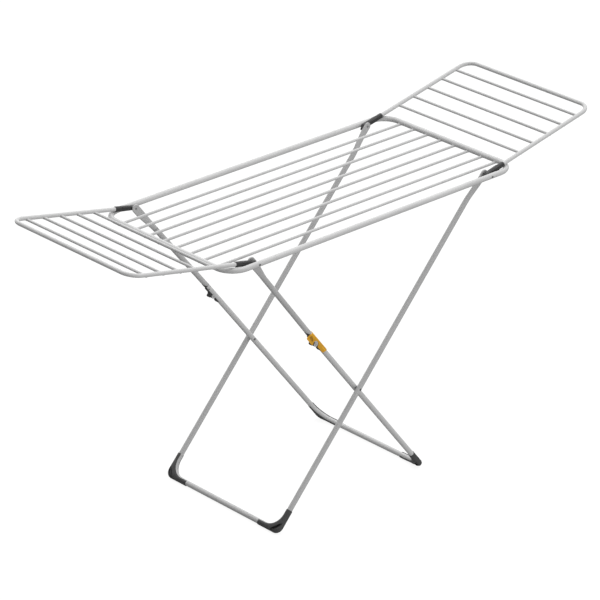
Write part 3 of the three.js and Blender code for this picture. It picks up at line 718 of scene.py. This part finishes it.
def clip_arm(place, y):
    """The tapered tail over the rivet and the grooved arm up to the collar."""
    wide = CLIP_WIDTH / 2 - 0.3
    # distance along the arm, half width, half height, height of the middle, depth of the grooves
    stations = (
        (-CLIP_TAIL, 1.6, 0.8, -5.4, 0), (-CLIP_TAIL + 1, 2.6, 1.4, -5, 0), (-12, 4.8, 3.0, -3.4, 0),
        (-7, wide - 0.6, 4.8, -1.6, 0), (-3, wide, 6.2, -0.2, 0), (2, wide, 6.4, 0, 0),
        (5, wide, 6.4, 0, 0.5), (8, wide, 6.4, 0, 1.1), (16, wide, 6.5, 0, 1.2), (30, wide, 6.8, 0, 1.2),
        (40, wide, 7.1, 0, 1.2), (44, wide, 7.2, 0, 0.7), (CLIP_COLLAR_START, wide, 7.2, 0, 0.3),
    )
    path = []
    sections = []
    for x, width, height, middle, groove in stations:
        path.append(Vector((x, y)))
        sections.append([(out, up + middle) for out, up in clip_section(width, height, groove)])
    return add_piece("clip_body", *sweep(path, sections), place, CLIP_PLASTIC)


def clip_collar(place, y):
    stations = (
        (CLIP_COLLAR_START - 1.5, CLIP_COLLAR_R - 1.1), (CLIP_COLLAR_START - 0.5, CLIP_COLLAR_R - 0.3),
        (CLIP_COLLAR_START + 0.8, CLIP_COLLAR_R), (CLIP_COLLAR_END - 1, CLIP_COLLAR_R),
        (CLIP_COLLAR_END, CLIP_COLLAR_R - 0.6),
    )
    path = [Vector((x, y)) for x, _ in stations]
    sections = [circle(radius, CLIP_SIDES) for _, radius in stations]
    return add_piece("clip_collar", *sweep(path, sections), place, CLIP_PLASTIC)


def build_clip(name, end, side_name, side):
    """Made with the arm along X. side is the clip's side of the rack in the wing's own frame."""
    place = wing_place(end)
    y = side * CLIP_Y
    clip = clip_arm(place, y)
    combine(clip, clip_collar(place, y), "UNION")
    bore_path = [Vector((WING_ARM_START - 2, y)), Vector((CLIP_COLLAR_END + 2, y))]
    bore = sweep(bore_path, [circle(WING_TUBE_R + 0.05, TUBE_SIDES)] * 2)
    combine(clip, add_piece("clip_bore", *bore, place, CLIP_PLASTIC), "DIFFERENCE")
    ring_path = rounded_path([(x, across, TOP_BEND_R) for x, across in TOP_CORNERS])
    ring = sweep(ring_path, [circle(TOP_TUBE_R + 0.3, TUBE_SIDES)] * len(ring_path), closed=True)
    combine(clip, add_piece("clip_seat", *ring, TOP_PLACE, CLIP_PLASTIC), "DIFFERENCE")
    clip.name = f"clip_{name}_{side_name}"
    smooth(clip, 40)
    settle(clip, f"wing_{name}", [f"hinge_clip_{name}_{side_name}"])


# ---------------------------------------------------------------- legs

PLATE_HALF_THICKNESS = 2.2
PLATE_HOLLOW = 0.22  # how much thinner the plate is along its middle, as a share
PLATE_STATIONS = [-12.35, -12.1, -11.4, -10.4, -9, -7, -4, -1, 3, 8, 14]
PLATE_STATIONS += [*range(22, 87, 8), 93, PLATE_BLEND_END]


def plate_section(s, centre_offset):
    """The tube's section at distance s below the pivot: flat and wide by the pivot, round
    further down. centre_offset is how far the plate's middle lies outward of the tube's."""
    flat = eased((PLATE_BLEND_END - s) / (PLATE_BLEND_END - PLATE_END))
    half_width = math.sqrt(max(PLATE_HALF_WIDTH ** 2 - min(s, 0) ** 2, 0))
    section = []
    for index in range(TUBE_SIDES):
        angle = 2 * math.pi * index / TUBE_SIDES
        across, up = math.cos(angle), math.sin(angle)
        edge = abs(up)
        hollow = PLATE_HOLLOW * (1 - eased((edge - 0.45) / 0.3))
        thickness = PLATE_HALF_THICKNESS * (1 - edge ** 10) ** 0.5 * (1 - hollow)
        pressed = math.copysign(thickness, across) if abs(across) > 1e-9 else 0
        section.append((
            mixed(LEG_TUBE_R * across, pressed, flat) + centre_offset * flat,
            mixed(LEG_TUBE_R * up, half_width * up, flat),
        ))
    return section


def leg_path(length, y, starts, spacing=80):
    """Distances down the near leg, round the foot bar and up the far leg, as flat points."""
    corners = [(starts[-1], -y, 0), (length, -y, LEG_BEND_R), (length, y, LEG_BEND_R), (starts[-1], y, 0)]
    middle = rounded_path(corners, spacing)
    down = [Vector((s, -y)) for s in starts[:-1]]
    up = [Vector((s, y)) for s in reversed(starts[:-1])]
    return down + middle + up


def crossing_rivet(inner_y, outer_y):
    return domed_rivet(inner_y, outer_y, RIVET_SHANK_R, CROSSING_HEAD_R, CROSSING_HEAD_HEIGHT)


def crossing_washer(inner_y):
    """A flat ring between the crossing legs, with its outer edges taken off."""
    return turned([
        (2.9, inner_y), (6.1, inner_y), (6.5, inner_y + 0.4), (6.5, inner_y + 1.2),
        (6.1, inner_y + 1.5), (2.9, inner_y + 1.5), (2.9, inner_y),
    ])


def build_outer_leg():
    path = leg_path(OUTER_LENGTH, OUTER_Y, PLATE_STATIONS)
    sections = []
    for point in path:
        if point.x < PLATE_BLEND_END:
            sections.append(plate_section(point.x, PLATE_Y - OUTER_Y))
        else:
            sections.append(circle(LEG_TUBE_R, TUBE_SIDES))
    points, faces = sweep(path, sections)
    add_piece(
        "outer_leg_tube", points, faces, OUTER_PLACE, LEG_PAINT_WITH_PAINTED_SHADE, "leg_outer", "frame_paint",
        ["leg_outer_tube"],
    )
    inner_face = INNER_Y + LEG_TUBE_R + 0.3
    for name, side in NEAR_AND_FAR:
        place = OUTER_PLACE @ Matrix.Translation((OUTER_CROSSING * MM, 0, 0))
        rivet = mirrored(crossing_rivet(inner_face + 1, OUTER_Y + LEG_TUBE_R), side)
        add_piece(
            f"crossing_rivet_head_{name}", *rivet, place, RIVET_STEEL, "leg_outer", "rivet_steel",
            [f"crossing_rivet_outer_{name}"],
        )
        add_piece(
            f"washer_{name}", *mirrored(crossing_washer(inner_face), side), place, WASHER_NYLON,
            "leg_outer", "washer_plastic", [f"crossing_washer_{name}"],
        )


MOUTH_COLLAR_END = 389.5
MOUTH_COLLAR_HEIGHT = 0.2
DETENT_R = 1.8


def inner_leg_tube():
    """The inner U in the wires' paler paint, with a low collar round each upper mouth."""
    path = leg_path(INNER_LENGTH, INNER_Y, [ELBOW_S, ELBOW_S + 0.4, 389, 390, 400, 430, 460, 500])
    sections = []
    for point in path:
        collar = MOUTH_COLLAR_HEIGHT if ELBOW_S < point.x < MOUTH_COLLAR_END else 0
        sections.append(circle(LEG_TUBE_R + collar, TUBE_SIDES))
    return add_piece("inner_leg_tube", *sweep(path, sections), INNER_PLACE, WIRE_PAINT)


def shape_elbow(leg, middle):
    """Adds the two ears for the pin, and cuts the slot and the detent hole, at one elbow."""
    for cheek in (-1, 1):
        low, high = sorted((middle + cheek * SLOT_HALF_WIDTH, middle + cheek * (LEG_TUBE_R - 0.1)))
        ear = rod_y(EAR_R, low, high, ELBOW_PIN_S, ELBOW_PIN_T)
        combine(leg, add_piece("ear", *ear, INNER_PLACE, LEG_PAINT_WITH_PAINTED_SHADE), "UNION")
    slot = block(
        (ELBOW_S - 1, middle - SLOT_HALF_WIDTH, -30), (SLOT_END, middle + SLOT_HALF_WIDTH, SLOT_ROOF),
    )
    combine(leg, add_piece("slot", *slot, INNER_PLACE, LEG_PAINT_WITH_PAINTED_SHADE), "DIFFERENCE")
    detent = rod_y(DETENT_R, middle - 10, middle + 10, DETENT_S, DETENT_T)
    # The detent hole's walls take the cutter's near-black material: painted shade inside the hole.
    combine(leg, add_piece("detent", *detent, INNER_PLACE, HOLLOW_PAINTED_SHADE), "DIFFERENCE")


def build_inner_leg():
    leg = inner_leg_tube()
    for _, side in NEAR_AND_FAR:
        shape_elbow(leg, side * INNER_Y)
    smooth(leg)
    settle(leg, "leg_inner", ["leg_inner_tube"])
    for name, side in NEAR_AND_FAR:
        place = INNER_PLACE @ Matrix.Translation((INNER_CROSSING * MM, 0, 0))
        rivet = mirrored(crossing_rivet(INNER_Y - LEG_TUBE_R - 0.1, INNER_Y + LEG_TUBE_R - 1.5), side)
        add_piece(
            f"crossing_rivet_tail_{name}", *rivet, place, RIVET_STEEL, "leg_inner", "rivet_steel",
            [f"crossing_rivet_inner_{name}"],
        )
        pin = domed_rivet(-LEG_TUBE_R + 0.3, LEG_TUBE_R - 0.3, 2.1, 2.9, 0.4)
        pin_place = Vector((ELBOW_PIN_S, side * INNER_Y, ELBOW_PIN_T)) * MM
        add_piece(
            f"pin_{name}", *pin, INNER_PLACE @ Matrix.Translation(pin_place), RIVET_STEEL, "leg_inner",
            "rivet_steel", [f"elbow_pin_{name}"],
        )
        build_elbow_base(name, side)


def build_elbow_base(name, side):
    outline = [(BASE_START, SLOT_ROOF - 0.3), (SLOT_END - 0.3, SLOT_ROOF - 0.3), (SLOT_END - 0.3, -7.6)]
    outline += arc((SLOT_END - 3.3, -7), 3, -12, -90, 4)
    outline += [(BASE_START + 2, -10), (BASE_START, -8)]
    half = SLOT_HALF_WIDTH - 0.2
    piece = add_piece(
        f"elbow_insert_{name}", *prism(outline, side * INNER_Y - half, side * INNER_Y + half), INNER_PLACE,
        ELBOW_PLASTIC,
    )
    soften(piece, 0.5)
    settle(piece, "leg_inner", [f"elbow_base_{name}"])


# ---------------------------------------------------------------- upper links

WINDOW_START = 368.6
# The opening in a link's underside that the plug's pad fills, as distance along it and height.
WINDOW_OUTLINE = [
    (WINDOW_START, -20), (LINK_END + 5, -20), (LINK_END + 5, -1.5), (382, -2.6), (376, -5),
    (WINDOW_START, -8.4),
]
LINK_SPLAY_START = 50
LINK_SLOPE = (LINK_SPLAY_Y - INNER_Y) / (ELBOW_S - LINK_SPLAY_START)


def link_y(s):
    """How far out a link's axis lies at distance s below its pivot."""
    return LINK_SPLAY_Y - LINK_SLOPE * max(s - LINK_SPLAY_START, 0)


def build_link(name, side):
    stations = [*PLATE_STATIONS, 120, 220, 320, 360, LINK_END - 0.6, LINK_END]
    path = [Vector((s, side * link_y(s))) for s in stations]
    sections = []
    for s in stations:
        if s < PLATE_BLEND_END:
            section = plate_section(s, PLATE_Y - link_y(s))
            sections.append([(-side * across, up) for across, up in section])
        else:
            sections.append(circle(LEG_TUBE_R - (0.4 if s == LINK_END else 0), TUBE_SIDES))
    tube = add_piece(f"link_tube_{name}", *sweep(path, sections), INNER_PLACE, LEG_PAINT_WITH_PAINTED_SHADE)
    low, high = sorted((side * (INNER_Y - 12), side * (INNER_Y + 14)))
    window = prism(WINDOW_OUTLINE, low, high)
    combine(tube, add_piece("window", *window, INNER_PLACE, LEG_PAINT_WITH_PAINTED_SHADE), "DIFFERENCE")
    smooth(tube)
    settle(tube, "upper_links", [f"upper_link_{name}"])


def build_elbow_plug(name, side):
    """A tongue in the slot with a round knob below, and a pad that fills the link's window."""
    start = ELBOW_S + 0.5
    outline = [(start, 1.3), (ELBOW_PIN_S - 8, 1.3)]
    outline += arc((ELBOW_PIN_S, ELBOW_PIN_T), EAR_R - 0.3, 75, -109, 14)
    outline += arc(KNOB, KNOB_R, 6, -206, 16)
    outline += [(KNOB[0] - 8, -9), (start + 6, -9), (start + 6, -5), (start, -5)]
    half = SLOT_HALF_WIDTH - 0.3
    middle = side * INNER_Y
    piece = add_piece(
        "elbow_tongue", *prism(outline, middle - half, middle + half), INNER_PLACE, ELBOW_PLASTIC,
    )
    end = ELBOW_S - 0.3
    pad_path = [Vector((s, side * link_y(s))) for s in (WINDOW_START, 376, end)]
    pad_tube = sweep(pad_path, [circle(LEG_TUBE_R + 0.3, TUBE_SIDES)] * 3)
    pad = add_piece("pad", *pad_tube, INNER_PLACE, ELBOW_PLASTIC)
    window = prism(WINDOW_OUTLINE, middle - 14, middle + 14)
    combine(pad, add_piece("window", *window, INNER_PLACE, ELBOW_PLASTIC), "INTERSECT")
    combine(piece, pad, "UNION")
    neck = block((end - 4, middle - 4, -4.5), (start + 3, middle + 4, 1.2))
    combine(piece, add_piece("neck", *neck, INNER_PLACE, ELBOW_PLASTIC), "UNION")
    soften(piece, 0.35)
    piece.name = f"elbow_tongue_{name}"
    settle(piece, "upper_links", [f"elbow_plug_{name}"])


# ---------------------------------------------------------------- lock slider

def build_lock_slider():
    """A sleeve with an open underside, a short far cheek, and a hooked and notched near one."""
    middle = -INNER_Y
    inner, outer = SLIDER_INNER_R, SLIDER_OUTER_R
    skirt = -20
    section = [(-outer, skirt), *arc((0, 0), outer, 180, 0, 32), (outer, skirt)]
    section += [(inner, skirt), *arc((0, 0), inner, 0, 180, 32), (-inner, skirt)]
    path = [Vector((SLIDER_PANEL_START, middle)), Vector((SLIDER_END, middle))]
    sleeve = add_piece("lock_sleeve", *sweep(path, [section] * 2), INNER_PLACE, YELLOW_PLASTIC)
    lower_end = [(SLIDER_START, 20), (SLIDER_END - 1.5, 20), (SLIDER_END - 0.2, 9), (SLIDER_END, 6)]
    near = lower_end + [(SLIDER_END - 1.6, 3), (SLIDER_END - 3, 0)]
    near += arc((SLIDER_END - 12, -2.6), 7, -20, -85, 6)
    near += arc((ELBOW_PIN_S - 3.2, -10.8), SLIDER_NOTCH_R, 6, 178, 24)
    near += arc((ELBOW_PIN_S - 15.5, -15), 4, 15, -80, 6)
    near += [(ELBOW_PIN_S - 18, -19.3), *arc((SLIDER_PANEL_START + 4, -14.6), 3.8, -95, -172, 5)]
    near += [(SLIDER_PANEL_START + 0.6, -11), (SLIDER_PANEL_START + 3, -2), (SLIDER_START, 6)]
    far = lower_end + [(SLIDER_END - 5, -3), (SLIDER_END - 7, -5.5), (SLIDER_START, -5.5)]
    outline = add_piece("lock_outline", *prism(near, middle - 20, middle), INNER_PLACE, YELLOW_PLASTIC)
    far_outline = add_piece("far_outline", *prism(far, middle, middle + 20), INNER_PLACE, YELLOW_PLASTIC)
    combine(outline, far_outline, "UNION")
    combine(sleeve, outline, "INTERSECT")
    soften(sleeve, 0.4)
    start = SLIDER_PANEL_START
    sunk = [(start + 5, -9.5), (start + 11, -2), (start + 13, -1.3), (start + 28, -7.5), (start + 25, -12.3)]
    recess = prism(sunk, middle - outer - 1, middle - outer + 0.9)
    # The recess's faces take the cutter's darker yellow: painted shade in the recess.
    combine(sleeve, add_piece("recess", *recess, INNER_PLACE, YELLOW_RECESS_PAINTED_SHADE), "DIFFERENCE")
    smooth(sleeve)
    settle(sleeve, "lock", ["lock_slider"])


# ---------------------------------------------------------------- foot caps

LENS_TIP = 17.5  # half the pocket's length, in degrees round the bend
RIM_ANGLE = math.radians(38)  # where a section's rim meets its flat flank
POCKET_FROM = 7.6  # the pocket's two edges, outward of the tube's axis
POCKET_TO = 18.2
POCKET_DEPTH = 4.2


def cap_reach(turn):
    """Distance from the bend's centre to the cap's outer outline, turn radians into the bend."""
    side_distance = LEG_BEND_R + CAP_R
    corner = LEG_BEND_R - (CAP_CORNER_R - CAP_R)
    direct = side_distance / max(math.cos(turn), math.sin(turn))
    along = corner * (math.cos(turn) + math.sin(turn))
    inside = along ** 2 - (2 * corner ** 2 - CAP_CORNER_R ** 2)
    rounded = along + math.sqrt(max(inside, 0))
    touch = math.atan2(corner, side_distance)
    return rounded if touch < turn < math.pi / 2 - touch else direct


def lens_share(turn):
    """The share of the pocket's full width at turn degrees into the bend."""
    return math.sqrt(max(1 - ((turn - 45) / LENS_TIP) ** 2, 0))


def pocket_edges(lens):
    """How far the pocket's two edges lie outward of the tube's axis."""
    middle = (POCKET_FROM + POCKET_TO) / 2
    return mixed(middle, POCKET_FROM, lens), mixed(middle + 0.2, POCKET_TO, lens)


def cap_section(reach, lens, end_shrink):
    """A C round the tube, with its back stretched out to reach, and a pocket in each flank.
    lens is the share of the pocket's full width here. Where there is no room for a pocket,
    its points lie further back on the plain surface."""
    lip_angle = math.acos(-CAP_LIP / CAP_R)
    radius = CAP_R - end_shrink
    stretch = max(reach - LEG_BEND_R - CAP_R, 0)
    depth = POCKET_DEPTH * min(1, 3 * lens)
    near_edge, far_edge = pocket_edges(lens)
    middle = (near_edge + far_edge) / 2
    back = max(far_edge + 0.9 - (stretch + radius * math.cos(RIM_ANGLE)), 0)
    outer = [(radius * math.cos(a), radius * math.sin(a)) for a in np.linspace(lip_angle, math.pi / 2, 7)]
    for across, sunk in (
        (near_edge - 0.7, 0), (near_edge - 0.2, 0.2), (near_edge, depth), (middle, depth), (far_edge, depth),
        (far_edge + 0.2, 0.2), (far_edge + 0.7, 0),
    ):
        outer.append(flank_point(across - back, radius, stretch, sunk))
    rim = [(stretch + radius * math.cos(a), radius * math.sin(a)) for a in np.linspace(RIM_ANGLE, 0, 6)]
    half = outer + rim
    loop = half + [(across, -up) for across, up in reversed(half[:-1])]
    hole = LEG_TUBE_R + 0.05
    mouth_angle = math.acos(-CAP_LIP / hole)
    inner = [(hole * math.cos(a), hole * math.sin(a)) for a in np.linspace(-mouth_angle, mouth_angle, 25)]
    return loop + inner


def flank_point(across, radius, stretch, sunk):
    """A point on the cap's upper face at distance across outward of the tube's axis."""
    if across <= 0:
        height = math.sqrt(radius ** 2 - across ** 2)
    elif across <= stretch:
        height = radius
    else:
        height = math.sqrt(max(radius ** 2 - (across - stretch) ** 2, 0))
    return across, height - sunk


def build_foot_cap(name, place, length, leg_y, along_leg, side, body, node):
    leg_corner = Vector((length, side * leg_y))
    centre = Vector((length - LEG_BEND_R, side * (leg_y - LEG_BEND_R)))
    path = []
    sections = []
    leg_run = along_leg - LEG_BEND_R
    bar_run = CAP_ALONG_BAR - LEG_BEND_R
    for distance, shrink in ((leg_run, 0.7), (leg_run - 0.5, 0.15), (leg_run - 1.2, 0), (leg_run / 2, 0)):
        path.append(Vector((centre.x - distance, leg_corner.y)))
        sections.append(cap_section(LEG_BEND_R + CAP_R, 0, shrink))
    steps = 24
    for step in range(steps + 1):
        turn = math.pi / 2 * step / steps
        outward = Vector((math.sin(turn), side * math.cos(turn)))
        path.append(centre + LEG_BEND_R * outward)
        sections.append(cap_section(cap_reach(turn), lens_share(math.degrees(turn)), 0))
    for distance, shrink in ((bar_run / 2, 0), (bar_run - 1.2, 0), (bar_run - 0.5, 0.15), (bar_run, 0.7)):
        path.append(Vector((leg_corner.x, centre.y - side * distance)))
        sections.append(cap_section(LEG_BEND_R + CAP_R, 0, shrink))
    if side > 0:
        path.reverse()
        sections.reverse()
    piece = add_piece(name, *sweep(path, sections), place, DARK_PLASTIC)
    # A second, near-black material: painted shade for the insides of the pockets.
    piece.data.materials.append(HOLLOW_PAINTED_SHADE)
    paint_pocket_shade(piece, place, centre, side)
    flatten_on_floor(piece)
    smooth(piece, 40)
    settle(piece, body, [node])


def paint_pocket_shade(piece, place, centre, side):
    """Gives the faces inside the two pockets, round the bend's centre, the near-black material: painted
    shade in the pockets.
    """
    to_frame = place.inverted()
    for polygon in piece.data.polygons:
        spot = to_frame @ polygon.center / MM
        arm = spot.xy - centre
        turn = math.degrees(math.atan2(arm.x, side * arm.y))
        near_edge, far_edge = pocket_edges(lens_share(turn))
        in_lens = near_edge - 0.1 < arm.length - LEG_BEND_R < far_edge + 0.2
        if in_lens and CAP_R - POCKET_DEPTH - 0.1 < abs(spot.z) < CAP_R - 0.3:
            polygon.material_index = 1


def flatten_on_floor(piece):
    """The sole: nothing of a cap goes below the floor."""
    for vertex in piece.data.vertices:
        vertex.co.z = max(vertex.co.z, 0)


def build_foot_caps():
    for name, side in NEAR_AND_FAR:
        build_foot_cap(
            f"foot_outer_{name}", OUTER_PLACE, OUTER_LENGTH, OUTER_Y, CAP_ALONG_OUTER_LEG, side,
            "leg_outer", f"foot_cap_outer_{name}",
        )
        build_foot_cap(
            f"foot_inner_{name}", INNER_PLACE, INNER_LENGTH, INNER_Y, CAP_ALONG_INNER_LEG, side,
            "leg_inner", f"foot_cap_inner_{name}",
        )


# ---------------------------------------------------------------- studio

FLOOR_REACH = 30  # metres
FLOOR_Z = -0.0005


def add_floor():
    mesh = bpy.data.meshes.new("floor")
    corners = [(x * FLOOR_REACH, y * FLOOR_REACH, 0) for x, y in ((-1, -1), (1, -1), (1, 1), (-1, 1))]
    mesh.from_pydata(corners, [], [[0, 1, 2, 3]])
    mesh.materials.append(floor_paint())
    floor = bpy.data.objects.new("floor", mesh)
    floor.location.z = FLOOR_Z
    floor.visible_diffuse = False
    floor.visible_glossy = False
    bpy.context.scene.collection.objects.link(floor)


def add_light(name, location, target, size, power):
    data = bpy.data.lights.new(name, "AREA")
    data.shape = "DISK"
    data.size = size
    data.energy = power
    light = bpy.data.objects.new(name, data)
    light.location = location
    light.rotation_euler = (Vector(target) - Vector(location)).to_track_quat("-Z", "Y").to_euler()
    bpy.context.scene.collection.objects.link(light)


# The studio's soft light: the way each part of it comes from, and its strength.
LIGHT_LOBES = (
    ((0, 0, 1), 0.3),  # overhead
    ((0, 0, -1), 0.25),  # off the floor
    ((0, -1, 0), 0.5),  # front
    ((0, -0.7, 0.7), 0.5),  # front, high
    ((0, -0.7, -0.7), 0.4),  # front, low
    ((0, 1, 0), 0.4),  # back
    ((0, 0.7, 0.7), 0.55),  # back, high
    ((0.7, 0, 0.7), 0.2),  # right, high
    ((0.7, 0.7, 0), 0.15),  # back right
    ((0.6, 0.6, 0.6), 0.9),  # back right, high: the brightest
)


def add_world():
    """Soft light from all those ways, each fading out a quarter turn away from its own."""
    world = bpy.data.worlds.new("studio")
    bpy.context.scene.world = world
    world.use_nodes = True
    tree = world.node_tree
    direction = tree.nodes.new("ShaderNodeTexCoord").outputs["Generated"]

    def calculated(operation, value, second, third=0):
        node = tree.nodes.new("ShaderNodeMath")
        node.operation = operation
        tree.links.new(value, node.inputs[0])
        node.inputs[1].default_value = second
        node.inputs[2].default_value = third
        return node

    total = None
    for way, strength in LIGHT_LOBES:
        facing = tree.nodes.new("ShaderNodeVectorMath")
        facing.operation = "DOT_PRODUCT"
        facing.inputs[1].default_value = way
        tree.links.new(direction, facing.inputs[0])
        positive = calculated("MAXIMUM", facing.outputs["Value"], 0)
        squared = calculated("POWER", positive.outputs[0], 2)
        share = calculated("MULTIPLY_ADD", squared.outputs[0], strength)
        if total:
            tree.links.new(total, share.inputs[2])
        total = share.outputs[0]
    background = tree.nodes["Background"]
    background.inputs["Color"].default_value = (1, 1, 1, 1)
    tree.links.new(total, background.inputs["Strength"])


def add_studio():
    add_floor()
    add_world()
    add_light("overhead", (0.6, -0.6, 4.5), (0, 0, 0.6), 4.0, 30)
    scene = bpy.context.scene
    scene.view_settings.view_transform = "Standard"
    scene.view_settings.look = "None"


# ---------------------------------------------------------------- the whole rack

add_camera()
build_top_frame()
build_pivot_rivets()
for wing_name, wing_side in LEFT_AND_RIGHT:
    build_wing(wing_name, wing_side)
    for clip_name, clip_side in NEAR_AND_FAR:
        build_clip(wing_name, wing_side, clip_name, clip_side * wing_side)
build_outer_leg()
build_inner_leg()
for link_name, link_side in NEAR_AND_FAR:
    build_link(link_name, link_side)
    build_elbow_plug(link_name, link_side)
build_lock_slider()
build_foot_caps()
add_studio()
